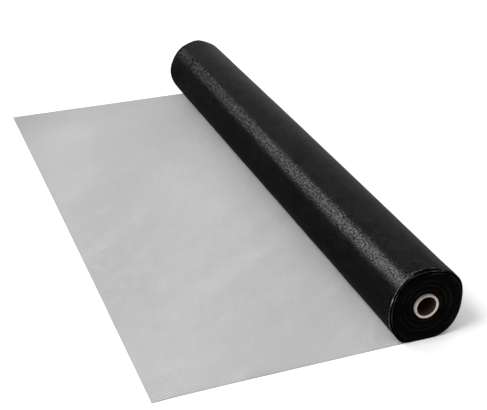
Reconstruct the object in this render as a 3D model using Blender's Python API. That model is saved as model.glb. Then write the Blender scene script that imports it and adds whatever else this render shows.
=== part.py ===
"""Roll of insect screen mesh on its tube, lying on a surface with its loose end laid out flat.

Metres, +Z up. The roll lies along Y, and the loose end runs from it towards -X. The origin is the
centre of the underside of the whole thing's box.
"""

import math

import bmesh
import bpy

# Cloth
CLOTH_WIDTH = 1.000
SHEET_THICKNESS = 0.0012
PIECE_GAP = 0.0003

# Roll across its length, measured from its centre line
ROLL_RADIUS = 0.0582
ROLL_CENTRE_HEIGHT = 0.0555
FLATTENED_SIDES = 4
SIDE_FLATTENING = 0.0015
SIDE_TURN = math.radians(6.0)
FOOT_SWELL = 0.0028
FOOT_SWELL_ANGLE = math.radians(240.0)
FOOT_SWELL_SPREAD = math.radians(14.0)
LIFT_ANGLE = math.radians(-73.0)
FOOT_ANGLE = math.radians(242.5)
ARC_STEPS = 62
FLAT_STEPS = 4

# Roll along its length
SLACK_LOBES = 3
SLACK_DRIFT = 0.0005
DRIFT_TURN = 5.0
RIM_ROUNDING = 0.0012
STATION_SHARES = (0.03, 0.09, 0.18, 0.3, 0.42, 0.5, 0.58, 0.7, 0.82, 0.91, 0.97)

# Turns that show on the ends of the roll
MAIN_TURNS = 7
OUTER_LAP = 0.03
RIDGE_SHARE = 0.45
GROOVE_DEPTH = 0.0014
BORE_SET_BACK = 0.0007
RIDGE_STAGGER = 0.0006
STAGGER_STEP = 2.4
ROUNDER_POWER = 4

# Tube that the cloth is wound on
TUBE_OUTER_RADIUS = 0.0190
TUBE_INNER_RADIUS = 0.0145
TUBE_PROUD = 0.004
TUBE_EDGE = 0.0004
TUBE_SIDES = 48

# Loose end, measured from the roll's centre line and from the roll's ends
SHEET_REACH = 0.3957
SHEET_SKEW = 0.0065
CORNER_FLARE = 0.0025
CORNER_FLARE_POWER = 9
CUT_EDGE_BOW = 0.0008
SHEET_ROWS_ACROSS = 14
SHEET_ROWS_ALONG = 32
RIPPLE_HEIGHT = 0.0007
RIPPLES_ACROSS = 1.6
RIPPLES_ALONG = 2.3
RIPPLE_LEAN = 2.0

# Worked out
HALF_WIDTH = CLOTH_WIDTH / 2.0
BORE_RADIUS = TUBE_OUTER_RADIUS + PIECE_GAP
SHARP_ANGLE = math.radians(35.0)


def clear_scene():
    """Remove the objects that the scene starts with."""
    for thing in list(bpy.data.objects):
        bpy.data.objects.remove(thing, do_unlink=True)


def make_material(name, colour, roughness):
    """Make a plain material of one colour."""
    material = bpy.data.materials.new(name)
    material.use_nodes = True
    shader = material.node_tree.nodes["Principled BSDF"]
    shader.inputs["Base Color"].default_value = (*colour, 1.0)
    shader.inputs["Roughness"].default_value = roughness
    shader.inputs["Metallic"].default_value = 0.0
    return material


def add_piece(name, bm, material, location, sharp_angle):
    """Turn a finished bmesh into a named object at its place."""
    bmesh.ops.recalc_face_normals(bm, faces=bm.faces)
    mesh = bpy.data.meshes.new(name)
    bm.to_mesh(mesh)
    bm.free()
    mesh.shade_smooth()
    mesh.set_sharp_from_angle(angle=sharp_angle)
    mesh.materials.append(material)
    piece = bpy.data.objects.new(name, mesh)
    piece.location = location
    bpy.context.scene.collection.objects.link(piece)
    return piece


def roll_radius(angle, y):
    """Radius of the wound cloth: four soft flats, a swell at the foot and a drift along the roll."""
    flats = -SIDE_FLATTENING * math.cos(FLATTENED_SIDES * (angle + SIDE_TURN))
    foot = FOOT_SWELL * math.exp(-((angle - FOOT_SWELL_ANGLE) / FOOT_SWELL_SPREAD) ** 2)
    above = (1.0 + math.sin(angle)) / 2.0
    slack = SLACK_DRIFT * above * math.sin(SLACK_LOBES * angle + DRIFT_TURN * y)
    return ROLL_RADIUS + flats + foot + slack


def roll_section(y):
    """Outline across the roll, counted from the middle of its flat, round by the right and the top.

    The points are x and z from the roll's centre line.
    """
    arc = []
    for step in range(ARC_STEPS + 1):
        angle = LIFT_ANGLE + (FOOT_ANGLE - LIFT_ANGLE) * step / ARC_STEPS
        radius = roll_radius(angle, y)
        height = max(radius * math.sin(angle), -ROLL_CENTRE_HEIGHT)
        arc.append((radius * math.cos(angle), height))
    lift_x = arc[0][0]
    foot_x = arc[-1][0]
    right = [(lift_x * step / FLAT_STEPS, -ROLL_CENTRE_HEIGHT) for step in range(FLAT_STEPS)]
    left = [(foot_x * step / FLAT_STEPS, -ROLL_CENTRE_HEIGHT) for step in range(FLAT_STEPS, 0, -1)]
    return right + arc + left


def turned_share(point):
    """Share of a turn from the middle of the flat to a point of the outline, by the right."""
    return (math.atan2(point[1], point[0]) + math.pi / 2.0) / (2.0 * math.pi) % 1.0


def toward_bore(outline, index, share):
    """Point between the bore (share 0) and a point of the outline (share 1).

    The inner turns are rounder than the outline, and their points are more evenly spread.
    """
    point = outline[index]
    reach = math.hypot(*point)
    radius = BORE_RADIUS + (ROLL_RADIUS - BORE_RADIUS) * share
    radius += (reach - ROLL_RADIUS) * share ** ROUNDER_POWER
    turned = turned_share(point) * share + index / len(outline) * (1.0 - share)
    angle = 2.0 * math.pi * turned - math.pi / 2.0
    return radius * math.cos(angle), radius * math.sin(angle)


def bridge(bm, first, second):
    """Join two closed rows of points with a band of faces."""
    count = len(first)
    for index in range(count):
        after = (index + 1) % count
        bm.faces.new((first[index], first[after], second[after], second[index]))


def add_end_turns(bm, rim, outline, end_y, inward):
    """Cover one end with a spiral of ridges and grooves, and return the row of points at the bore.

    The spiral starts at the rim and runs in to the bore, one ridge for each main turn. inward is
    +1 or -1, the way into the roll along Y.
    """
    count = len(rim)
    steps = count * MAIN_TURNS
    pitch = (1.0 - OUTER_LAP) / (MAIN_TURNS + 1.0)
    ridge = []
    groove = []
    for step in range(steps + 1):
        index = step % count
        turn = step // count + turned_share(outline[index])
        stagger = RIDGE_STAGGER * (1.0 + math.sin(STAGGER_STEP * turn)) / 2.0
        ridge_share = 1.0 - OUTER_LAP - pitch * turn
        groove_share = ridge_share - pitch * RIDGE_SHARE
        x, z = toward_bore(outline, index, ridge_share)
        ridge.append(bm.verts.new((x, end_y + inward * stagger, z)))
        x, z = toward_bore(outline, index, groove_share)
        groove.append(bm.verts.new((x, end_y + inward * GROOVE_DEPTH, z)))
    bore = []
    for index in range(count):
        x, z = toward_bore(outline, index, 0.0)
        bore.append(bm.verts.new((x, end_y + inward * BORE_SET_BACK, z)))

    for index in range(count):
        after = (index + 1) % count
        bm.faces.new((rim[index], rim[after], ridge[index + 1], ridge[index]))
    for step in range(steps):
        bm.faces.new((ridge[step], ridge[step + 1], groove[step + 1], groove[step]))
    for step in range(steps - count):
        inner = step + count
        bm.faces.new((groove[step], groove[step + 1], ridge[inner + 1], ridge[inner]))
    last = steps - count
    for index in range(count):
        after = (index + 1) % count
        bm.faces.new((groove[last + index], groove[last + index + 1], bore[after], bore[index]))
    bm.faces.new((rim[0], ridge[0], ridge[count]))
    bm.faces.new((ridge[0], groove[0], ridge[count]))
    bm.faces.new((groove[last], ridge[steps], bore[0]))
    bm.faces.new((ridge[steps], groove[steps], bore[0]))
    return bore


def roll_stations():
    """Places along the roll where its section is drawn, from the near end to the far end."""
    between = [-HALF_WIDTH + CLOTH_WIDTH * share for share in STATION_SHARES]
    return [-HALF_WIDTH, -HALF_WIDTH + RIM_ROUNDING, *between, HALF_WIDTH - RIM_ROUNDING, HALF_WIDTH]


def roll_place():
    """X and Y of the roll's middle that put the origin in the middle of the whole thing's box."""
    right = max(x for y in roll_stations() for x, z in roll_section(y))
    near = sheet_edges(1.0)[0]
    far = HALF_WIDTH + TUBE_PROUD
    return (SHEET_REACH - right) / 2.0, -(near + far) / 2.0


def build_wound_roll(material, place):
    """Wound cloth: one body round the tube, with its main turns on both ends."""
    bm = bmesh.new()
    rows = []
    for y in roll_stations():
        outline = roll_section(y)
        on_rim = abs(y) == HALF_WIDTH
        share = 1.0 - RIM_ROUNDING / (ROLL_RADIUS - BORE_RADIUS) if on_rim else 1.0
        row = []
        for index in range(len(outline)):
            x, z = toward_bore(outline, index, share)
            row.append(bm.verts.new((x, y, z)))
        rows.append(row)
    for first, second in zip(rows, rows[1:]):
        bridge(bm, first, second)
    near = add_end_turns(bm, rows[0], roll_section(-HALF_WIDTH), -HALF_WIDTH, 1.0)
    far = add_end_turns(bm, rows[-1], roll_section(HALF_WIDTH), HALF_WIDTH, -1.0)
    bridge(bm, near, far)
    return add_piece("wound_roll", bm, material, (*place, ROLL_CENTRE_HEIGHT), SHARP_ANGLE)


def build_core_tube(material, place):
    """Tube: its wall's section turned about the roll's centre line."""
    end = HALF_WIDTH + TUBE_PROUD
    wall = [
        (TUBE_INNER_RADIUS, -end + TUBE_EDGE),
        (TUBE_INNER_RADIUS + TUBE_EDGE, -end),
        (TUBE_OUTER_RADIUS - TUBE_EDGE, -end),
        (TUBE_OUTER_RADIUS, -end + TUBE_EDGE),
        (TUBE_OUTER_RADIUS, end - TUBE_EDGE),
        (TUBE_OUTER_RADIUS - TUBE_EDGE, end),
        (TUBE_INNER_RADIUS + TUBE_EDGE, end),
        (TUBE_INNER_RADIUS, end - TUBE_EDGE),
    ]
    bm = bmesh.new()
    corners = [bm.verts.new((radius, y, 0.0)) for radius, y in wall]
    edges = [bm.edges.new((corners[i], corners[(i + 1) % len(corners)])) for i in range(len(corners))]
    bmesh.ops.spin(
        bm,
        geom=corners + edges,
        cent=(0.0, 0.0, 0.0),
        axis=(0.0, 1.0, 0.0),
        angle=2.0 * math.pi,
        steps=TUBE_SIDES,
        use_merge=True,
    )
    return add_piece("core_tube", bm, material, (*place, ROLL_CENTRE_HEIGHT), SHARP_ANGLE)


def sheet_edges(out):
    """Y of the near and far edges, out being 0 at the roll and 1 at the free edge."""
    lean = SHEET_SKEW * out
    flare = CORNER_FLARE * out ** CORNER_FLARE_POWER
    return -HALF_WIDTH - lean - flare, HALF_WIDTH - lean


def build_loose_sheet(material, place):
    """Loose end: a thin sheet flat on its underside, a little uneven on top, meeting the roll's foot."""
    foot_x = roll_section(0.0)[FLAT_STEPS + ARC_STEPS][0]
    inner_x = foot_x - PIECE_GAP
    bm = bmesh.new()
    top = []
    bottom = []
    for column in range(SHEET_ROWS_ACROSS + 1):
        out = column / SHEET_ROWS_ACROSS
        near_y, far_y = sheet_edges(out)
        top_row = []
        bottom_row = []
        for row in range(SHEET_ROWS_ALONG + 1):
            along = row / SHEET_ROWS_ALONG
            bow = CUT_EDGE_BOW * math.sin(math.pi * along)
            x = inner_x + (-SHEET_REACH + bow - inner_x) * out
            y = near_y + (far_y - near_y) * along
            across_wave = math.sin(math.pi * RIPPLES_ACROSS * out + along)
            along_wave = math.sin(math.pi * RIPPLES_ALONG * along + RIPPLE_LEAN * out)
            ripple = RIPPLE_HEIGHT * out * (1.0 + across_wave * along_wave) / 2.0
            top_row.append(bm.verts.new((x, y, SHEET_THICKNESS + ripple)))
            bottom_row.append(bm.verts.new((x, y, 0.0)))
        top.append(top_row)
        bottom.append(bottom_row)
    for column in range(SHEET_ROWS_ACROSS):
        for row in range(SHEET_ROWS_ALONG):
            for face, flip in ((top, False), (bottom, True)):
                corners = [
                    face[column][row],
                    face[column][row + 1],
                    face[column + 1][row + 1],
                    face[column + 1][row],
                ]
                bm.faces.new(corners[::-1] if flip else corners)
    top_border = border(top)
    bottom_border = border(bottom)
    bridge(bm, top_border, bottom_border)
    return add_piece("loose_sheet", bm, material, (*place, 0.0), SHARP_ANGLE)


def border(grid):
    """Points round the outside of a grid of points, in order."""
    first = grid[0]
    last = grid[-1]
    sides_up = [row[-1] for row in grid[1:-1]]
    sides_down = [row[0] for row in grid[-2:0:-1]]
    return first + sides_up + last[::-1] + sides_down


def main():
    """Build every piece."""
    clear_scene()
    wound_cloth = make_material("wound_cloth", (0.016, 0.016, 0.017), 0.45)
    loose_cloth = make_material("loose_cloth", (0.020, 0.020, 0.021), 0.55)
    core_board = make_material("core_board", (0.42, 0.34, 0.28), 0.85)
    place = roll_place()
    build_wound_roll(wound_cloth, place)
    build_core_tube(core_board, place)
    build_loose_sheet(loose_cloth, place)


main()
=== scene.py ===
"""Finish of a roll of insect screen mesh on its board tube, with its loose end laid out flat.

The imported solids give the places, and the pieces made here stand for them. Metres, +Z up. The roll
lies along Y and the loose end runs from it towards -X.
"""

import logging
import math
import random
from dataclasses import dataclass
from enum import Enum
from typing import Callable

import bpy
from mathutils import Euler, Matrix, Vector, noise


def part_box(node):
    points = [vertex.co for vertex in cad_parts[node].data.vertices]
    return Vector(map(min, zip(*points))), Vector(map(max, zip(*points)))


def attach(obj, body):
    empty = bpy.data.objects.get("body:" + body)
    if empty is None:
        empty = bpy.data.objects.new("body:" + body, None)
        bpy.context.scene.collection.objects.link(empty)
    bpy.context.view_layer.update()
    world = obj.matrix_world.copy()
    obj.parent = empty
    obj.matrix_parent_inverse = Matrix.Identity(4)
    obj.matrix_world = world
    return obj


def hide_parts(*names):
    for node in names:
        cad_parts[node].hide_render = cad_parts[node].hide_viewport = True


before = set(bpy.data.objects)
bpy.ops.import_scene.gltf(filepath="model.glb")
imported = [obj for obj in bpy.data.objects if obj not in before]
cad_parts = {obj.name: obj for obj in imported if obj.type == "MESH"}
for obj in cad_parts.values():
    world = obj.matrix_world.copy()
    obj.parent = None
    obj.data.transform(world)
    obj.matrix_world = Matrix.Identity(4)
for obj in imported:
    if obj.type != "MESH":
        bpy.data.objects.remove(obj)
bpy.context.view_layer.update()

log = logging.getLogger("screen_roll")

BODY = "root"
FULL_TURN = 2.0 * math.pi
Place = Callable[[float, float], Vector]
Section = list[tuple[float, float]]
Piece = bpy.types.Object
Material = bpy.types.Material


class Side(Enum):
    """End of the roll, by the sign of its place along Y."""

    NEAR = -1
    FAR = 1


def ease(share: float) -> float:
    """Turn a share into one that starts and stops gently, held within 0 and 1."""
    share = min(max(share, 0.0), 1.0)
    return share * share * (3.0 - 2.0 * share)


def hump(value: float, middle: float, spread: float) -> float:
    """Height of a soft hump, 1 at its middle."""
    return math.exp(-((value - middle) / spread) ** 2)


def mix(first: float, second: float, share: float) -> float:
    """Value between two others."""
    return first + (second - first) * share


def select(piece: Piece | None = None) -> None:
    """Go to object mode and select one piece alone, or nothing.

    Args:
        piece: The piece, which also becomes the active one.
    """
    if bpy.context.mode != "OBJECT":
        bpy.ops.object.mode_set(mode="OBJECT")
    bpy.ops.object.select_all(action="DESELECT")
    if piece:
        piece.select_set(True)
        bpy.context.view_layer.objects.active = piece


def name_new(name: str) -> Piece:
    """Name the primitive that was just added, and its mesh.

    Args:
        name: The new name.

    Returns:
        The primitive.
    """
    piece = bpy.context.active_object
    piece.name = piece.data.name = name
    return piece


def edit_all(piece: Piece) -> None:
    """Open a piece in edit mode with all of it selected.

    Args:
        piece: The piece.
    """
    select(piece)
    bpy.ops.object.mode_set(mode="EDIT")
    bpy.ops.mesh.select_all(action="SELECT")


def lay_grid(name: str, columns: int, rows: int, place: Place, measure: Place) -> Piece:
    """Add a flat grid, lay its points where the cloth runs and turn its face outwards.

    Args:
        name: Name of the piece.
        columns: Faces along the cloth's length.
        rows: Faces across the cloth's width.
        place: Gives a point's place from its shares of the length and the width.
        measure: Gives the metres along and across the cloth from the same shares.

    Returns:
        The piece, with a UV map in metres.
    """
    select()
    bpy.ops.mesh.primitive_grid_add(x_subdivisions=columns, y_subdivisions=rows, size=1.0)
    piece = name_new(name)
    mesh = piece.data
    shares = [(vertex.co.x + 0.5, vertex.co.y + 0.5) for vertex in mesh.vertices]
    for loop, entry in zip(mesh.loops, mesh.uv_layers.active.data):
        entry.uv = measure(*shares[loop.vertex_index]).xy
    for vertex, (out, across) in zip(mesh.vertices, shares):
        vertex.co = place(out, across)
    edit_all(piece)
    bpy.ops.mesh.flip_normals()
    select()
    return piece


def turn_section(name: str, section: Section, centre: Vector, steps: int) -> Piece:
    """Spin a closed section about the roll's centre line.

    Args:
        name: Name of the piece.
        section: Radius and place along Y from the centre of each corner, in order.
        centre: The middle of the centre line.
        steps: Faces round the centre line.

    Returns:
        The closed piece.
    """
    select()
    bpy.ops.mesh.primitive_circle_add(vertices=len(section), radius=1.0, fill_type="NOTHING")
    piece = name_new(name)
    for vertex, (radius, y) in zip(piece.data.vertices, section):
        vertex.co = (centre.x + radius, centre.y + y, centre.z)
    edit_all(piece)
    bpy.ops.mesh.spin(steps=steps, angle=FULL_TURN, center=centre, axis=(0.0, 1.0, 0.0))
    bpy.ops.mesh.select_all(action="SELECT")
    bpy.ops.mesh.remove_doubles(threshold=0.00001)
    bpy.ops.mesh.normals_make_consistent(inside=False)
    select()
    return piece


def apply_modifier(piece: Piece, kind: str, **settings: object) -> None:
    """Add a modifier to a piece, set it and apply it.

    Args:
        piece: The piece.
        kind: Blender's name for its type.
        settings: Its settings.
    """
    select(piece)
    bpy.ops.object.modifier_add(type=kind)
    modifier = piece.modifiers[-1]
    for key, value in settings.items():
        setattr(modifier, key, value)
    bpy.ops.object.modifier_apply(modifier=modifier.name)


def shade_by_angle(piece: Piece, degrees: float) -> None:
    """Shade a piece smooth except across its sharper edges."""
    select(piece)
    bpy.ops.object.shade_smooth_by_angle(angle=math.radians(degrees))


class Value:
    """A number on a node's socket, which Python's operators work on."""

    def __init__(self, graph: "Graph", socket: bpy.types.NodeSocket) -> None:
        """Keep the socket and the graph that it is in."""
        self.graph = graph
        self.socket = socket

    def _math(self, operation: str, *values: object, clamp: bool = False) -> "Value":
        """Add a Math node on the values given."""
        settings = {"operation": operation, "use_clamp": clamp}
        return self.graph.node("ShaderNodeMath", settings, *values)

    def __add__(self, other: object) -> "Value":
        """Sum of two values."""
        return self._math("ADD", self, other)

    def __sub__(self, other: object) -> "Value":
        """Difference of two values."""
        return self._math("SUBTRACT", self, other)

    def __rsub__(self, other: object) -> "Value":
        """Difference with this value taken away."""
        return self._math("SUBTRACT", other, self)

    def __mul__(self, other: object) -> "Value":
        """Product of two values."""
        return self._math("MULTIPLY", self, other)

    def __truediv__(self, other: object) -> "Value":
        """Quotient of two values."""
        return self._math("DIVIDE", self, other)

    __radd__ = __add__
    __rmul__ = __mul__

    def __abs__(self) -> "Value":
        """Size of this value without its sign."""
        return self._math("ABSOLUTE", self)

    def part(self) -> "Value":
        """What is left after the whole number is taken away."""
        return self._math("FRACT", self)

    def whole(self) -> "Value":
        """Whole number at or below this value."""
        return self._math("FLOOR", self)

    def sine(self) -> "Value":
        """Sine of this value in radians."""
        return self._math("SINE", self)

    def root(self) -> "Value":
        """Square root of this value."""
        return self._math("SQRT", self)

    def below(self, other: object) -> "Value":
        """1 where this value is under the other one, else 0."""
        return self._math("LESS_THAN", self, other)

    def held(self) -> "Value":
        """This value kept within 0 and 1."""
        return self._math("ADD", self, 0.0, clamp=True)

    def past(self, edge: float, slope: float) -> "Value":
        """How far this value is past an edge, times a slope and kept within 0 and 1."""
        return self._math("MULTIPLY", self - edge, slope, clamp=True)

    def most(self, other: object) -> "Value":
        """The larger of two values."""
        return self._math("MAXIMUM", self, other)


class Graph:
    """The nodes of one material or of the world."""

    def __init__(self, owner: bpy.types.ID, shader: str) -> None:
        """Start on the nodes of a material or world, with its shader's name."""
        owner.use_nodes = True
        self.owner = owner
        self.tree = owner.node_tree
        self.shader = self.tree.nodes[shader]

    @classmethod
    def material(cls, name: str) -> "Graph":
        """Start a material with a Principled shader."""
        return cls(bpy.data.materials.new(name), "Principled BSDF")

    def node(self, kind: str, settings: dict[str, object] | None = None, *values: object,
             output: int | str = 0, **named: object) -> Value:
        """Add a node.

        Args:
            kind: Blender's name for the node's type.
            settings: The node's own settings, which are set first.
            values: Values or links of its sockets, in order.
            output: Which output is wanted.
            named: Values or links of sockets by name, with _ for a space.

        Returns:
            The wanted output.
        """
        made = self.tree.nodes.new(kind)
        for key, value in (settings or {}).items():
            setattr(made, key, value)
        for index, value in enumerate(values):
            self._feed(made.inputs[index], value)
        for key, value in named.items():
            self._feed(made.inputs[key.replace("_", " ")], value)
        return Value(self, made.outputs[output])

    def _feed(self, socket: bpy.types.NodeSocket, value: object) -> None:
        """Link or set one socket.

        Args:
            socket: The socket.
            value: A value to link, a number or colour to set, or None to leave it.
        """
        if isinstance(value, Value):
            self.tree.links.new(value.socket, socket)
        elif value is not None:
            socket.default_value = value

    def set(self, **inputs: object) -> None:
        """Set or link inputs of the shader, with _ for a space."""
        for key, value in inputs.items():
            self._feed(self.shader.inputs[key.replace("_", " ")], value)

    def split(self, vector: Value) -> tuple[Value, Value, Value]:
        """Take a vector apart."""
        made = self.node("ShaderNodeSeparateXYZ", None, vector)
        return tuple(Value(self, out) for out in made.socket.node.outputs)

    def join(self, x: object = 0.0, y: object = 0.0, z: object = 0.0) -> Value:
        """Make a vector of three values."""
        return self.node("ShaderNodeCombineXYZ", None, x, y, z)

    def place(self) -> Value:
        """Object coordinates, which are metres in the roll's own frame."""
        return self.node("ShaderNodeTexCoord", output="Object")

    def cloth(self) -> Value:
        """Metres along and across the cloth, from the UV map."""
        return self.node("ShaderNodeTexCoord", output="UV")

    def from_centre(self, centre: Vector) -> tuple[Value, Value, Value]:
        """Place across, place up and distance from the roll's centre line.

        Args:
            centre: A point of the centre line.

        Returns:
            The three values, in metres.
        """
        x, _, z = self.split(self.place())
        off_x = x - centre.x
        off_z = z - centre.z
        return off_x, off_z, (off_x * off_x + off_z * off_z).root()

    def noise(self, vector: Value, scale: float, detail: float = 2.0, rough: float = 0.5) -> Value:
        """Soft noise from 0 to 1."""
        return self.node("ShaderNodeTexNoise", None, Vector=vector, Scale=scale, Detail=detail,
                         Roughness=rough)

    def blend(self, share: Value, first: tuple | Value, second: tuple | Value) -> Value:
        """Colour between two colours.

        Args:
            share: 0 for the first colour, 1 for the second.
            first: One colour, or a link that gives it.
            second: The other colour, or a link that gives it.

        Returns:
            The colour.
        """
        ends = [end if isinstance(end, Value) else (*end, 1.0) for end in (first, second)]
        made = self.node("ShaderNodeMix", {"data_type": "RGBA"}, share, output=2)
        for socket, end in zip(made.socket.node.inputs[6:8], ends):
            self._feed(socket, end)
        return made

    def bump(self, height: Value, strength: float = 1.0, distance: float = 1.0,
             under: Value | None = None) -> Value:
        """Normal from a height in metres."""
        return self.node("ShaderNodeBump", None, Strength=strength, Distance=distance,
                         Height=height, Normal=under)


@dataclass(frozen=True)
class Weave:
    """Plain weave of round yarns: the repeat and the yarn as a share of it."""

    pitch_along: float = 0.00150
    pitch_across: float = 0.00150
    yarn_share: float = 0.19
    crimp: float = 0.35

    def yarns(self, along: Value, across: Value, share: Value | None = None) -> tuple[Value, Value]:
        """Cover and height of the weave.

        Args:
            along: Metres along the cloth.
            across: Metres across the cloth.
            share: The yarn as a share of the repeat, where it varies.

        Returns:
            1 on a yarn and 0 in a hole, and the height of the upper yarn in yarn radii.
        """
        repeat_a = along / self.pitch_along
        repeat_b = across / self.pitch_across
        odd = (repeat_a.whole() + repeat_b.whole()) * math.pi
        first = self._yarn(repeat_a, repeat_b, odd, share)
        second = self._yarn(repeat_b, repeat_a, odd + math.pi, share)
        return first[0].most(second[0]), first[1].most(second[1])

    def _yarn(self, run: Value, side: Value, turn: Value, share: Value | None) -> tuple[Value, Value]:
        """Cover and height of the yarns that run one way.

        Args:
            run: Repeats along the yarns.
            side: Repeats across the yarns.
            turn: Angle that puts each yarn over or under the next one it crosses.
            share: The yarn as a share of the repeat, where it varies.

        Returns:
            1 on a yarn and 0 beside it, and the height in yarn radii.
        """
        off = abs(side.part() - 0.5) * 2.0 / (self.yarn_share if share is None else share)
        cover = off.below(1.0)
        round_top = (1.0 - off * off).most(0.0).root()
        wave = (run.part() * math.pi + turn).sine()
        return cover, cover * (round_top + wave * self.crimp + self.crimp)


@dataclass(frozen=True)
class WoundFinish:
    """Black coated yarn in many layers, with flecks that lean away and break the sheen, and a painted
    glint on the near rim.
    """

    weave: Weave = Weave(yarn_share=0.24)
    yarn_colour: tuple = (0.046, 0.046, 0.046)
    gap_colour: tuple = (0.006, 0.006, 0.006)
    mirror_share: float = 0.8
    roughness: float = 0.14
    rim_tint: tuple = (0.43, 0.43, 0.43, 1.0)
    layer_drift: float = 0.004
    lower_cover: float = 0.75
    fleck_scale: float = 630.0
    patch_scale: float = 370.0
    patch_share: float = 0.55
    fleck_length: float = 0.60
    far_growth: float = 0.46
    wave_height: float = 0.0005
    fleck_height: float = 0.0003
    dark_below: float = 0.52
    near_lean: float = 2.2
    far_lean: float = 4.0
    # Place and colour of the painted glint on the upper left of the near rim.
    lip_depth: float = 0.0095
    lip_left: float = -0.036
    lip_right: float = -0.010
    lip_bottom: float = 0.024
    lip_glint_colour: tuple = (0.10, 0.10, 0.10)

    def make(self, corner: Vector) -> Material:
        """Make the material.

        Args:
            corner: The end of the roll's centre line nearest the camera.

        Returns:
            The material.
        """
        graph = Graph.material("black screen, wound")
        cloth = graph.cloth()
        along, across, _ = graph.split(cloth)
        drift = graph.noise(cloth, 14.0) * self.layer_drift
        upper, _ = self.weave.yarns(along, across)
        lower, _ = self.weave.yarns(along * 1.02 + drift, across * 0.985 + drift)
        cover = upper.most(lower * self.lower_cover)
        column = (along / self.weave.pitch_along).whole()
        row = (across / self.weave.pitch_across).whole()
        flat = {"noise_dimensions": "2D"}
        grain = graph.node("ShaderNodeTexWhiteNoise", flat, graph.join(column, row))
        flecks = self._flecks(along, across)
        patches = graph.noise(cloth, 60.0)
        share = (flecks - 0.5) * 1.4 + (grain - 0.5) * 0.4 + (patches - 0.5) * 0.4 + 0.5
        colour = graph.blend(share.held() * cover, self.gap_colour, self.yarn_colour)
        # Painted glint: pale speckles in the colour where the sheen catches the near rim on the upper
        # left.
        painted_glint = self._lip_glint(graph, corner) * flecks.past(0.46, 9.0)
        roll_wave = graph.noise(cloth, 24.0, detail=1.0)
        normal = graph.bump(roll_wave, distance=self.wave_height)
        normal = graph.bump(flecks + grain * 0.5, distance=self.fleck_height, under=normal)
        steepness = across * (self.far_lean - self.near_lean) + self.near_lean
        lean = (self.dark_below - flecks).most(0.0) * steepness
        normal = graph.node("ShaderNodeVectorMath", {"operation": "ADD"}, normal, graph.join(0.0, lean))
        normal = graph.node("ShaderNodeVectorMath", {"operation": "NORMALIZE"}, normal)
        graph.set(
            Base_Color=graph.blend(painted_glint, colour, self.lip_glint_colour),
            Metallic=self.mirror_share,
            Roughness=self.roughness,
            Normal=normal,
            Specular_IOR_Level=0.0,
            Specular_Tint=self.rim_tint,
        )
        return graph.owner

    def _flecks(self, along: Value, across: Value) -> Value:
        """Small flecks of two sizes, longer across the cloth and larger towards the far end.

        Args:
            along: Metres along the cloth.
            across: Metres across the cloth.

        Returns:
            About 0.5 in the middle, less in a dark fleck.
        """
        graph = along.graph
        finer = 1.0 - across * self.far_growth
        down = across * (1.0 - across * (self.far_growth / 2.0)) * self.fleck_length
        stretched = graph.join(along * finer, down)
        flecks = graph.noise(stretched, self.fleck_scale, detail=1.0)
        patches = graph.noise(stretched, self.patch_scale, detail=1.0)
        return flecks + (patches - 0.5) * self.patch_share

    def _lip_glint(self, graph: Graph, corner: Vector) -> Value:
        """Strip of the near rim, on the upper left, where a painted glint stands in for the sheen
        catching the rim.

        Args:
            graph: The material's graph.
            corner: The end of the roll's centre line nearest the camera.

        Returns:
            1 in the strip and 0 away from it.
        """
        x, y, z = graph.split(graph.place())
        across = x.past(corner.x + self.lip_left, 120.0) * x.past(corner.x + self.lip_right, -120.0)
        up = z.past(corner.z + self.lip_bottom, 90.0)
        return y.past(corner.y + self.lip_depth, -350.0) * across * up


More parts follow.
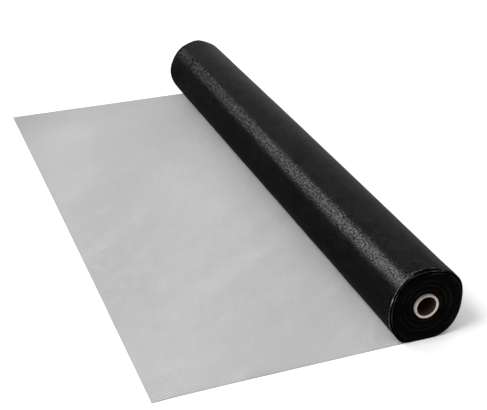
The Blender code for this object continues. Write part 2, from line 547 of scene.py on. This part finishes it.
@dataclass(frozen=True)
class SheerFinish:
    """One layer of the same cloth: black yarns with open holes between them."""

    weave: Weave = Weave(yarn_share=0.1435)
    yarn_colour: tuple = (0.017, 0.0175, 0.032)
    yarn_radius: float = 0.00014
    edge_band: float = 0.0016
    pull_along: float = 173.0
    pull_across: float = 212.0
    pull_depth: float = 0.66
    pull_reach: float = 0.070
    pull_cover: float = 0.12
    crease_depth: float = 0.075
    mottle: float = 0.28
    far_tightness: float = 0.08
    side_painted_shade: float = 0.16
    middle_painted_light: float = 0.030
    middle: float = 0.45
    foot_painted_light: float = 0.17
    foot_reach: float = 0.07
    foot_width: float = 0.40

    def make(self, length: float, width: float) -> Material:
        """Make the material.

        Args:
            length: Metres from the roll's foot to the cut edge.
            width: Metres between the two side edges.

        Returns:
            The material.
        """
        graph = Graph.material("black screen, single layer")
        cloth = graph.cloth()
        along, across, _ = graph.split(cloth)
        shift = (graph.noise(cloth, 55.0) - 0.5) * 0.0006
        stretch = (graph.noise(cloth, 38.0, detail=3.0) - 0.5) * self.mottle
        stretch = stretch + self._pull(length, along, across) - self._crease(along, across)
        # Painted shade and light: yarns denser towards both side edges and sparser in the middle,
        # growing towards the cut edge, to even out how light falls through the sheet.
        off_middle = abs(across / width - self.middle) * 2.0
        side_shade = off_middle * off_middle * self.side_painted_shade - self.middle_painted_light
        # Painted light: the yarns are sparser by the roll's foot at the near end, which lightens the
        # shade beside the roll.
        foot = (1.0 - along / self.foot_reach).held() * (1.0 - across / self.foot_width).held()
        stretch = stretch + side_shade * (along / length) - foot * self.foot_painted_light
        share = (stretch + 1.0 + across * self.far_tightness) * self.weave.yarn_share
        cover, height = self.weave.yarns(along + shift, across + shift, share)
        edge = across.below(self.edge_band).most((width - across).below(self.edge_band))
        double = abs((across / self.weave.pitch_across * 2.0).part() - 0.5).below(0.12)
        cover = cover.most(edge * double)
        graph.set(
            Base_Color=(*self.yarn_colour, 1.0),
            Roughness=0.6,
            Alpha=cover,
            Normal=graph.bump(height, strength=0.6, distance=self.yarn_radius),
            Specular_IOR_Level=0.12,
        )
        return graph.owner

    def _crease(self, along: Value, across: Value) -> Value:
        """Share by which the yarns part in a few long soft creases that run slantwise.

        Args:
            along: Metres along the cloth.
            across: Metres across the cloth.

        Returns:
            The share, 0 between the creases.
        """
        over = along * 0.6 + across * 0.8
        down = across * 0.6 - along * 0.8
        graph = along.graph
        folds = graph.noise(graph.join(over, down * 0.12), 13.0, detail=1.0)
        return (1.0 - abs(folds - 0.5) * 22.0).held() * self.crease_depth

    def _pull(self, length: float, along: Value, across: Value) -> Value:
        """Share by which yarns bunch up in slanting lines, most at the free near corner.

        Args:
            length: Length of the loose end.
            along: Metres along the cloth.
            across: Metres across the cloth.

        Returns:
            The share, above 0 where they are close and below 0 where they part.
        """
        graph = along.graph
        wave = ((along * self.pull_along + across * self.pull_across) * FULL_TURN).sine()
        near = (1.0 - across / self.pull_reach).held()
        corner = near * (1.0 - (length - along) / (self.pull_reach * 1.6)).held()
        patches = graph.noise(graph.join(along, across), 52.0).past(0.46, 6.0)
        hatch = wave * ((corner * 3.0).held() * (patches * 0.8 + 0.2) + near * patches * 0.45)
        return hatch * self.pull_depth + corner * self.pull_cover


@dataclass(frozen=True)
class CutEdgeFinish:
    """Cut edge of the cloth, where the pale glass in the yarns shows as dots, kept to the left side and
    the top as a painted highlight.
    """

    coat_colour: tuple = (0.012, 0.012, 0.012)
    glass_and_highlight_colour: tuple = (0.70, 0.70, 0.70)
    inner_turns: float = 0.0535
    inner_share: float = 0.45
    # Bounds of the painted highlight on the left side and over the top of the rim.
    left_end: float = 0.0023
    left_bottom: float = -0.0531
    top_start: float = 0.004
    top_end: float = 0.027
    top_bottom: float = 0.046
    top_highlight_share: float = 0.6

    def make(self, centre: Vector) -> Material:
        """Make the material, palest on the side towards the loose end and over the top, where the dots
        are a painted highlight of the lit rim.

        Args:
            centre: A point of the roll's centre line.

        Returns:
            The material.
        """
        graph = Graph.material("cut edge")
        place = graph.place()
        off_x, off_z, radius = graph.from_centre(centre)
        outermost = radius.past(self.inner_turns, 400.0).most(self.inner_share)
        dots = graph.noise(place, 420.0)
        patches = graph.noise(place, 55.0)
        share = dots.past(0.42, 4.5) * patches.past(0.38, 5.0)
        # Painted highlight: the real pale dots are kept to the left side and the top, where the light
        # falls on the rim.
        left = off_x.past(self.left_end, -26.0) * off_z.past(self.left_bottom, 16.0)
        top = off_z.past(self.top_bottom, 400.0) * off_x.past(self.top_start, 400.0)
        top = top * off_x.past(self.top_end, -200.0) * self.top_highlight_share
        share = share * outermost * left.most(top)
        graph.set(
            Base_Color=graph.blend(share, self.coat_colour, self.glass_and_highlight_colour),
            Roughness=0.6,
            Specular_IOR_Level=0.3,
        )
        return graph.owner


@dataclass(frozen=True)
class TurnEndFinish:
    """Ends of the tight turns: nearly black, with a few turns a little paler as painted glints of turn
    edges that catch the light.
    """

    dark_colour: tuple = (0.0036, 0.0036, 0.0037)
    # Colour of the painted glints on the paler turns.
    pale_colour: tuple = (0.090, 0.090, 0.091)

    def make(self, centre: Vector) -> Material:
        """Make the material round the roll's centre line.

        Args:
            centre: A point of the centre line.

        Returns:
            The material.
        """
        graph = Graph.material("black screen, turn ends")
        place = graph.place()
        _, _, radius = graph.from_centre(centre)
        wander = graph.noise(place, 20.0, detail=1.0) * 0.004
        # Painted glints: pale arcs on some turns stand in for turn edges that catch the light.
        glint_rings = graph.noise(graph.join(radius + wander), 330.0, detail=3.0, rough=0.75)
        arcs = graph.noise(place, 32.0, detail=1.0)
        specks = graph.noise(place, 600.0)
        share = glint_rings.past(0.53, 6.0) * arcs.past(0.35, 3.0) * specks.held()
        graph.set(
            Base_Color=graph.blend(share, self.dark_colour, self.pale_colour),
            Roughness=0.7,
            Specular_IOR_Level=0.0,
        )
        return graph.owner


@dataclass(frozen=True)
class BoardFinish:
    """Grey-brown wound board, with the spiral seams of its plies and painted shade in its bore."""

    board_colour: tuple = (0.20, 0.155, 0.13)
    ply_colour: tuple = (0.42, 0.37, 0.33)
    pale_colour: tuple = (0.66, 0.615, 0.58)
    seam_colour: tuple = (0.10, 0.075, 0.06)
    # Near black of the bore: painted shade inside the tube.
    bore_shade_colour: tuple = (0.030, 0.019, 0.013)
    wall_radius: float = 0.01795
    bore_radius: float = 0.01495
    seam_pitch: float = 0.074
    seam_lead: float = 0.055

    def make(self, centre: Vector) -> Material:
        """Make the material round the roll's centre line.

        Args:
            centre: A point of the centre line.

        Returns:
            The material.
        """
        graph = Graph.material("wound board")
        place = graph.place()
        _, y, _ = graph.split(place)
        off_x, off_z, radius = graph.from_centre(centre)
        angle = graph.node("ShaderNodeMath", {"operation": "ARCTAN2"}, off_z, off_x)
        spiral = (y + angle * (self.seam_lead / FULL_TURN)) / self.seam_pitch
        seam = abs(spiral.part() - 0.5).below(0.012)
        fibre = graph.noise(place, 260.0, detail=4.0, rough=0.65)
        mottle = graph.noise(place, 60.0, detail=3.0)
        share = ((fibre - 0.35) * 1.6 + (mottle - 0.5) * 1.2).held()
        plain = graph.blend(share, self.board_colour, self.ply_colour)
        outside = graph.blend(seam * 0.55, plain, self.seam_colour)
        end_face = graph.blend(share, self.ply_colour, self.pale_colour)
        faced = graph.blend(radius.below(self.wall_radius), outside, end_face)
        # Painted shade: the inner wall of the bore is near black.
        graph.set(
            Base_Color=graph.blend(radius.below(self.bore_radius), faced, self.bore_shade_colour),
            Roughness=0.88,
            Normal=graph.bump(fibre - seam * 0.5, strength=0.5, distance=0.0004),
            Specular_IOR_Level=0.2,
        )
        return graph.owner


@dataclass(frozen=True)
class EndBulge:
    """Bulge of the outermost turn near one end, with its angle in degrees from the right."""

    side: Side
    angle: float
    spread: float
    height: float
    length: float = 0.045

    def rise(self, angle: float, y: float, half_width: float) -> float:
        """How far the cloth stands out at an angle round the roll and a place along it."""
        near_end = ease(1.0 - (half_width - y * self.side.value) / self.length)
        return self.height * near_end * hump(angle, math.radians(self.angle), math.radians(self.spread))


@dataclass
class RollShape:
    """Form of the wound cloth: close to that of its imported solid, with a few bulges at the ends."""

    centre: Vector
    half_width: float = 0.500
    radius: float = 0.0579
    centre_height: float = 0.0555
    flattened_sides: int = 4
    side_flattening: float = 0.0015
    side_turn: float = math.radians(6.0)
    foot_swell: float = 0.0028
    foot_swell_angle: float = math.radians(240.0)
    foot_swell_spread: float = math.radians(12.0)
    foot_share: float = (242.5 + 90.0) / 360.0
    slack_lobes: int = 3
    slack_drift: float = 0.0005
    drift_turn: float = 5.0
    bulges: tuple = (
        EndBulge(Side.FAR, 178.0, 24.0, 0.0036),
        EndBulge(Side.FAR, 88.0, 17.0, 0.0033),
        EndBulge(Side.NEAR, 27.0, 18.0, 0.0013),
        EndBulge(Side.NEAR, 234.0, 12.0, 0.0016),
        EndBulge(Side.NEAR, -35.0, 35.0, 0.0004),
    )

    def outline(self, turns: float, y: float, raised: float = 0.0) -> float:
        """Distance from the centre line to the outside of the roll.

        Args:
            turns: Turns from the middle of the flat underside, up by the right.
            y: Place along the roll from its middle.
            raised: Height of the flat underside over the floor.

        Returns:
            The distance.
        """
        angle = FULL_TURN * (turns - math.floor(turns)) - math.pi / 2.0
        flats = -self.side_flattening * math.cos(self.flattened_sides * (angle + self.side_turn))
        foot = self.foot_swell * hump(angle, self.foot_swell_angle, self.foot_swell_spread)
        above = (1.0 + math.sin(angle)) / 2.0
        slack = self.slack_drift * above * math.sin(self.slack_lobes * angle + self.drift_turn * y)
        ends = sum(bulge.rise(angle, y, self.half_width) for bulge in self.bulges)
        reach = self.radius + flats + foot + slack + ends
        down = -math.sin(angle)
        if down > 0.0:
            reach = min(reach, (self.centre_height - raised) / down)
        return reach

    def point(self, turns: float, reach: float, y: float) -> Vector:
        """Place of a point from its turns, its distance from the centre line and its Y."""
        angle = FULL_TURN * turns - math.pi / 2.0
        return self.centre + Vector((math.cos(angle) * reach, y, math.sin(angle) * reach))


@dataclass
class LooseTurns:
    """Outer turns of the cloth, slack at the ends: one sheet wound from the foot inwards."""

    shape: RollShape
    inner_end: float = 2.5
    slack_depth: float = 0.0102
    body_gap: float = 0.0006
    foot_lift: float = 0.0016
    thickness: float = 0.00035
    steps_a_turn: int = 84
    rows: int = 110
    end_share: float = 0.18
    curl: float = 0.0004
    curl_length: float = 0.006
    floor_gap: float = 0.0001
    raggedness: float = 0.0004
    inner_setback: float = 0.0013
    setback: float = 0.0055
    setback_start: float = 0.36
    setback_end: float = 0.568
    wobble: float = 0.00022

    @property
    def start(self) -> float:
        """Turns at which the sheet starts, on the floor under the foot."""
        return self.shape.foot_share - 1.0

    def slack(self, turns: float) -> float:
        """Share of the slack that shows at a place round the roll: little at the bottom."""
        angle = FULL_TURN * turns
        return 0.54 - 0.28 * math.cos(angle) - 0.40 * math.sin(angle)

    def body_reach(self, turns: float, y: float) -> float:
        """Distance from the centre line to the tight turns inside."""
        outside = self.shape.outline(turns, y, self.foot_lift)
        return outside - self.slack_depth * self.slack(turns) - self.body_gap

    def reach(self, turns: float, y: float) -> float:
        """Distance from the centre line to the sheet.

        Args:
            turns: Turns from the middle of the flat underside.
            y: Place along the roll from its middle.

        Returns:
            The distance.
        """
        foot = self.shape.foot_share
        if turns < foot:
            return self.shape.outline(turns, y) - (self.floor_gap if turns < 0.05 else 0.0)
        share = (turns - foot) / (self.inner_end - foot)
        outside = self.shape.outline(turns, y, self.foot_lift)
        return outside - self.slack_depth * share * self.slack(turns)

    def across(self, share: float) -> float:
        """Share of the width, with its rows closer together near both ends."""
        return share - self.end_share * math.sin(FULL_TURN * share) / FULL_TURN * 4.0

    def edge(self, turns: float, side: Side) -> float:
        """How far the sheet's edge stops short of the roll's end.

        Args:
            turns: Turns from the middle of the flat underside.
            side: Which end of the roll.

        Returns:
            The distance.
        """
        ragged = self.raggedness * (1.0 + noise.noise(Vector((turns * 9.0, 3.0 * side.value, 0.5))))
        ragged += self.inner_setback * ease((turns - self.shape.foot_share) / 0.1)
        if side is Side.FAR:
            return ragged
        grows = ease((turns - self.setback_start) / 0.15)
        steps_out = ease((self.setback_end - turns) / 0.012)
        return ragged + self.setback * grows * steps_out

    def place(self, out: float, across: float) -> Vector:
        """Place of a point of the sheet.

        Args:
            out: Its share of the way from the foot to the inner end.
            across: Its share of the width, from the near edge.

        Returns:
            The place.
        """
        turns = mix(self.start, self.inner_end, out)
        half = self.shape.half_width
        near = -half + self.edge(turns, Side.NEAR)
        far = half - self.edge(turns, Side.FAR)
        y = mix(near, far, self.across(across))
        reach = self.reach(turns, y)
        to_end = min(y - near, far - y)
        lively = ease((turns - 0.03) / 0.06)
        reach -= self.curl * lively * math.exp(-to_end / self.curl_length)
        angle = FULL_TURN * turns
        around = Vector((math.cos(angle) * 2.1, math.sin(angle) * 2.1, y * 26.0 + turns))
        free = lively * ease((self.shape.foot_share - 0.03 - turns) / 0.05 if turns < 0.93 else 1.0)
        reach += self.wobble * free * (noise.noise(around) - 0.2)
        return self.shape.point(turns, reach, y)

    @property
    def length(self) -> float:
        """Length of the sheet laid flat.

        Returns:
            The sum of short steps along the middle.
        """
        count = 200
        turns = [mix(self.start, self.inner_end, step / count) for step in range(count + 1)]
        points = [self.shape.point(turn, self.reach(turn, 0.0), 0.0) for turn in turns]
        return sum((one - other).length for one, other in zip(points, points[1:]))

    def build(self, cloth: Material, cut: Material, ends: Piece) -> Piece:
        """Build the sheet with its thickness and finish.

        Args:
            cloth: Finish of its faces.
            cut: Finish of its edges.
            ends: The yarn ends that stand out of its edges; not used.

        Returns:
            The piece.
        """
        flat_length = self.length
        width = 2.0 * self.shape.half_width
        columns = round((self.inner_end - self.start) * self.steps_a_turn)

        def measure(out: float, across: float) -> Vector:
            """Metres along and across the cloth."""
            return Vector((flat_length * out, width * self.across(across), 0.0))

        piece = lay_grid("loose_turns", columns, self.rows, self.place, measure)
        piece.data.materials.append(cloth)
        piece.data.materials.append(cut)
        apply_modifier(
            piece, "SOLIDIFY", thickness=self.thickness, offset=-1.0, use_even_offset=True,
            material_offset_rim=1,
        )
        shade_by_angle(piece, 40.0)
        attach(piece, BODY)
        return piece


@dataclass
class YarnEnds:
    """Cut yarns that stand out of both edges of the loose turns, one for each repeat."""

    sheet: LooseTurns
    pitch: float = 0.0015
    radius: float = 0.00022
    shortest: float = 0.0004
    longest: float = 0.0020
    rooted: float = 0.0004
    splay: float = 0.45
    seed: int = 7

    def build(self, finish: Material) -> Piece:
        """Build all the ends as one mesh.

        Args:
            finish: Finish of the cut yarns.

        Returns:
            The piece.
        """
        select()
        bpy.ops.mesh.primitive_cylinder_add(vertices=3, radius=self.radius, depth=1.0)
        piece = name_new("yarn_ends")
        corners = [vertex.co.copy() for vertex in piece.data.vertices]
        faces = [tuple(face.vertices) for face in piece.data.polygons]
        points = []
        joined = []
        for matrix in self.places():
            first = len(points)
            points += [matrix @ corner for corner in corners]
            joined += [tuple(first + index for index in face) for face in faces]
        piece.data.clear_geometry()
        piece.data.from_pydata(points, [], joined)
        piece.data.materials.append(finish)
        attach(piece, BODY)
        return piece

    def places(self) -> list[Matrix]:
        """Place, direction and length of every yarn end.

        Returns:
            A matrix for each, which stands a yarn 1 m long and upright where it belongs.
        """
        chance = random.Random(self.seed)
        count = round(self.sheet.length / self.pitch)
        found = []
        for side in Side:
            for index in range(count):
                out = (index + chance.uniform(0.3, 0.7)) / count
                root = self.sheet.place(out, 0.0 if side is Side.NEAR else 1.0)
                long = mix(self.shortest, self.longest, chance.random() ** 2)
                lean = Vector((chance.uniform(-1.0, 1.0), 0.0, chance.uniform(-0.4, 1.0)))
                way = (Vector((0.0, side.value, 0.0)) + lean * self.splay).normalized()
                middle = root + way * (long / 2.0 - self.rooted)
                middle.z = max(middle.z, self.radius + 0.0001)
                turn = way.to_track_quat("Z", "Y").to_matrix().to_4x4()
                grown = Matrix.Diagonal((1.0, 1.0, long, 1.0))
                found.append(Matrix.Translation(middle) @ turn @ grown)
        return found


@dataclass
class TightTurns:
    """Body of the roll: its tight turns, which show as fine ridges on both ends."""

    shape: RollShape
    outer: LooseTurns
    bore_radius: float = 0.0189
    nominal_radius: float = 0.0485
    turns: int = 66
    ridge_share: float = 0.56
    groove_depth: float = 0.0011
    group_slip: float = 0.0016
    turn_slip: float = 0.0006
    steps: int = 96
    wander: float = 0.00035
    end_wander: float = 0.0003

    def end_profile(self, side: Side) -> Section:
        """Ridges and grooves of one end, from the outside in.

        Args:
            side: Which end of the roll.

        Returns:
            The radius and the place along the roll of each corner.
        """
        pitch = (self.nominal_radius - self.bore_radius) / self.turns
        end = self.shape.half_width
        points = []
        for turn in range(self.turns):
            radius = self.nominal_radius - pitch * turn
            group = noise.noise(Vector((turn * 0.21, 4.0 + side.value, 1.5)))
            single = noise.noise(Vector((turn * 0.83, 7.0, 2.0 + side.value)))
            top = end - self.group_slip * (0.5 + group) - self.turn_slip * (0.5 + single)
            for inward, y in ((0.0, top), (self.ridge_share, top), (0.8, top - self.groove_depth)):
                points.append((radius - pitch * inward, side.value * y))
        return points

    def build(self, finish: Material) -> Piece:
        """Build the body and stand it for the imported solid.

        Args:
            finish: Finish of the turn ends.

        Returns:
            The piece.
        """
        near = self.end_profile(Side.NEAR)
        far = self.end_profile(Side.FAR)
        bore = self.bore_radius
        section = near + [(bore, near[-1][1]), (bore, far[-1][1])] + far[::-1]
        piece = turn_section("tight_turns", section, self.shape.centre, self.steps)
        for vertex in piece.data.vertices:
            vertex.co = self.settle(vertex.co - self.shape.centre)
        piece.data.materials.append(finish)
        shade_by_angle(piece, 35.0)
        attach(piece, BODY)
        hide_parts("wound_roll")
        return piece

    def settle(self, offset: Vector) -> Vector:
        """Move a point of the round body to where the slack of the roll lets it lie.

        Args:
            offset: The point, from the middle of the roll.

        Returns:
            Its place.
        """
        radius = math.hypot(offset.x, offset.z)
        turns = (math.atan2(offset.z, offset.x) + math.pi / 2.0) / FULL_TURN % 1.0
        share = (radius - self.bore_radius) / (self.nominal_radius - self.bore_radius)
        settled = self.outer.body_reach(turns, offset.y) - self.nominal_radius
        reach = radius + settled * share ** 3
        seed = Vector((offset.x * 26.0, offset.z * 26.0, share * 9.0))
        reach += self.wander * noise.noise(seed) * share * (1.0 - share) * 4.0
        slip = self.end_wander * noise.noise(Vector((offset.x * 40.0, share * 21.0, offset.z * 40.0)))
        y = offset.y + slip * math.copysign(1.0, -offset.y)
        return self.shape.point(turns, reach, y)


@dataclass
class BoardTube:
    """Board tube that the cloth is wound on, a little proud of it at both ends."""

    shape: RollShape
    outer_radius: float = 0.0182
    inner_radius: float = 0.0149
    proud: float = 0.0024
    dish: float = 0.0009
    edge: float = 0.0004
    plies: int = 5
    ply_groove: float = 0.00012
    steps: int = 96
    ragged: float = 0.00018

    def end_profile(self, side: Side) -> Section:
        """Rounded edges and ply lines of one end, from the outside in.

        Args:
            side: Which end of the tube.

        Returns:
            The radius and the place along the tube of each corner.
        """
        end = self.shape.half_width + self.proud
        points = [
            (self.outer_radius, end - self.edge),
            (self.outer_radius - self.edge * 0.3, end - self.edge * 0.3),
            (self.outer_radius - self.edge, end),
        ]
        wall = self.outer_radius - self.inner_radius - 2.0 * self.edge
        for ply in range(1, self.plies):
            radius = self.outer_radius - self.edge - wall * ply / self.plies
            lip = 0.0001
            back = end - self.dish * ply / self.plies
            points += [(radius + lip, back), (radius, back - self.ply_groove), (radius - lip, back)]
        inside = end - self.dish
        points += [
            (self.inner_radius + self.edge, inside),
            (self.inner_radius + self.edge * 0.3, inside - self.edge * 0.3),
            (self.inner_radius, inside - self.edge),
        ]
        return [(radius, side.value * y) for radius, y in points]

    def build(self, finish: Material) -> Piece:
        """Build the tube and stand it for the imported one.

        Args:
            finish: Finish of the board.

        Returns:
            The piece.
        """
        section = self.end_profile(Side.NEAR) + self.end_profile(Side.FAR)[::-1]
        piece = turn_section("board_tube", section, self.shape.centre, self.steps)
        for vertex in piece.data.vertices:
            offset = vertex.co - self.shape.centre
            seed = Vector((offset.x * 150.0, offset.y * 3.0, offset.z * 150.0))
            vertex.co.y += self.ragged * noise.noise(seed)
        piece.data.materials.append(finish)
        shade_by_angle(piece, 50.0)
        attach(piece, BODY)
        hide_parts("core_tube")
        return piece


@dataclass
class LooseEnd:
    """Loose end of the cloth: one sheer layer on the floor."""

    shape: RollShape
    foot_x: float = -0.02838
    reach: float = 0.3957
    skew: float = 0.0065
    flare: float = 0.0025
    flare_power: int = 9
    bow: float = 0.0008
    slide: float = 0.0010
    lift: float = 0.00035
    ripple: float = 0.00022
    ripples_across: float = 1.6
    ripples_along: float = 2.3
    ripple_lean: float = 2.0
    thickness: float = 0.00030
    columns: int = 96
    rows: int = 200

    def place(self, out: float, along: float) -> Vector:
        """Place of a point of the sheet.

        Args:
            out: Its share of the way from the roll's foot to the cut edge.
            along: Its share of the way along the roll, from the near end.

        Returns:
            The place.
        """
        lean = self.skew * out
        near = self.slide - self.shape.half_width - lean - self.flare * out ** self.flare_power
        far = self.slide + self.shape.half_width - lean
        bow = self.bow * math.sin(math.pi * along)
        x = mix(self.foot_x, -self.reach + bow, out)
        across_wave = math.sin(math.pi * self.ripples_across * out + along)
        along_wave = math.sin(math.pi * self.ripples_along * along + self.ripple_lean * out)
        height = self.lift + self.ripple * out * (1.0 + across_wave * along_wave) / 2.0
        return Vector((self.shape.centre.x + x, self.shape.centre.y + mix(near, far, along), height))

    def measure(self, out: float, along: float) -> Vector:
        """Metres along and across the cloth."""
        return Vector((self.length * out, 2.0 * self.shape.half_width * along, 0.0))

    @property
    def length(self) -> float:
        """Length of the loose end from the roll's foot."""
        return self.reach + self.foot_x

    def build(self, cloth: Material) -> Piece:
        """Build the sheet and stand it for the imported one.

        Args:
            cloth: Finish of the sheer cloth.

        Returns:
            The piece.
        """
        piece = lay_grid("loose_end", self.columns, self.rows, self.place, self.measure)
        piece.data.materials.append(cloth)
        apply_modifier(piece, "SOLIDIFY", thickness=self.thickness, offset=-1.0)
        shade_by_angle(piece, 40.0)
        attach(piece, BODY)
        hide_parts("loose_sheet")
        self.length
        return piece


@dataclass(frozen=True)
class Softbox:
    """One soft studio light."""

    name: str
    place: tuple[float, float, float]
    aim: tuple[float, float, float]
    size: tuple[float, float]
    radiance: float
    turn: float = 0.0

    def hang(self) -> None:
        """Hang the light, turned about its own middle by its angle in degrees."""
        data = bpy.data.lights.new(self.name, "AREA")
        data.shape = "RECTANGLE"
        data.size, data.size_y = self.size
        data.energy = self.radiance * math.pi * self.size[0] * self.size[1]
        light = bpy.data.objects.new(self.name, data)
        light.location = self.place
        way = Vector(self.aim) - Vector(self.place)
        facing = way.to_track_quat("-Z", "Y").to_matrix()
        turned = facing @ Matrix.Rotation(math.radians(self.turn), 3, "Z")
        light.rotation_euler = turned.to_euler()
        bpy.context.scene.collection.objects.link(light)


@dataclass
class Studio:
    """Pale floor, soft lights and the camera."""

    floor_size: float = 30.0
    floor_colour: tuple = (0.90, 0.90, 0.90)
    sky: float = 0.50
    wall: float = 3.0
    wall_rest: float = 0.32
    ground: float = 0.42
    camera_place: tuple = (-0.52091, -1.63238, 0.88409)
    camera_yaw: float = 20.420
    camera_pitch: float = 27.291
    camera_roll: float = 0.077
    lens: float = 82.94
    lights: tuple = (
        Softbox("key", (-8.35, -1.8, 8.15), (0.15, 0.0, 0.05), (7.0, 7.0), 8.6),
        Softbox("top", (0.3, -0.8, 3.6), (0.3, -0.8, 0.0), (6.0, 5.0), 0.75),
        Softbox("strip", (-4.35, 7.8, 4.25), (0.17, 0.0, 0.10), (5.2, 5.0), 11.0, 43.0),
        Softbox("back", (1.8, 6.3, 2.6), (0.17, 0.0, 0.10), (5.4, 4.0), 1.1),
    )

    def set_up(self) -> None:
        """Set up the floor, the lights and the camera."""
        self.lay_floor()
        self.light()
        self.stand_camera()

    def lay_floor(self) -> None:
        """Lay the floor."""
        select()
        bpy.ops.mesh.primitive_plane_add(size=self.floor_size)
        floor = name_new("floor")
        graph = Graph.material("pale floor")
        graph.set(Base_Color=(*self.floor_colour, 1.0), Roughness=0.9, Specular_IOR_Level=0.0)
        floor.data.materials.append(graph.owner)
        floor.visible_glossy = False

    def light(self) -> None:
        """Hang the lights and set the sky, with a paler wall on the right behind the roll."""
        graph = Graph(bpy.data.worlds.new("studio"), "Background")
        side, ahead, up = graph.split(graph.node("ShaderNodeTexCoord", output="Generated"))
        shade = up.past(-0.45, 1.5) * (side * 0.9 + 0.75).held()
        right = side.past(0.12, 3.0) * (1.0 - abs(up - 0.15) * 2.1).held()
        behind = (1.0 - abs(ahead - 0.70) * 4.0).held()
        shade = shade + right * (behind * self.wall + self.wall_rest)
        shade = shade + up.past(-0.25, -2.0) * self.ground
        graph.set(Color=(1.0, 1.0, 1.0, 1.0), Strength=shade * self.sky)
        bpy.context.scene.world = graph.owner
        bpy.context.scene.view_settings.view_transform = "Standard"
        for softbox in self.lights:
            softbox.hang()

    def stand_camera(self) -> None:
        """Stand the camera where the photograph was taken from."""
        data = bpy.data.cameras.new("camera")
        data.lens = self.lens
        data.sensor_width = 36.0
        data.clip_start = 0.05
        data.clip_end = 60.0
        camera = bpy.data.objects.new("camera", data)
        tilt = math.radians(90.0 - self.camera_pitch)
        turn = Euler((tilt, 0.0, -math.radians(self.camera_yaw))).to_matrix()
        turn = turn @ Matrix.Rotation(math.radians(self.camera_roll), 3, "Z")
        camera.matrix_world = Matrix.Translation(self.camera_place) @ turn.to_4x4()
        bpy.context.scene.collection.objects.link(camera)
        bpy.context.scene.camera = camera


def report(piece: Piece) -> None:
    """Log a piece's name and how many faces it has."""
    log.info("%s: %d faces", piece.name, len(piece.data.polygons))


def main() -> None:
    """Build every piece and set up the studio."""
    logging.basicConfig(level=logging.INFO, format="%(message)s")
    low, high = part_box("core_tube")
    shape = RollShape(centre=(low + high) / 2.0)
    Studio().set_up()
    cut = CutEdgeFinish().make(shape.centre)
    outer = LooseTurns(shape)
    ends = YarnEnds(outer).build(cut)
    report(ends)
    corner = shape.centre - Vector((0.0, shape.half_width, 0.0))
    report(outer.build(WoundFinish().make(corner), cut, ends))
    report(TightTurns(shape, outer).build(TurnEndFinish().make(shape.centre)))
    report(BoardTube(shape).build(BoardFinish().make(shape.centre)))
    loose_end = LooseEnd(shape)
    report(loose_end.build(SheerFinish().make(loose_end.length, 2.0 * shape.half_width)))


if __name__ == "__main__":
    main()
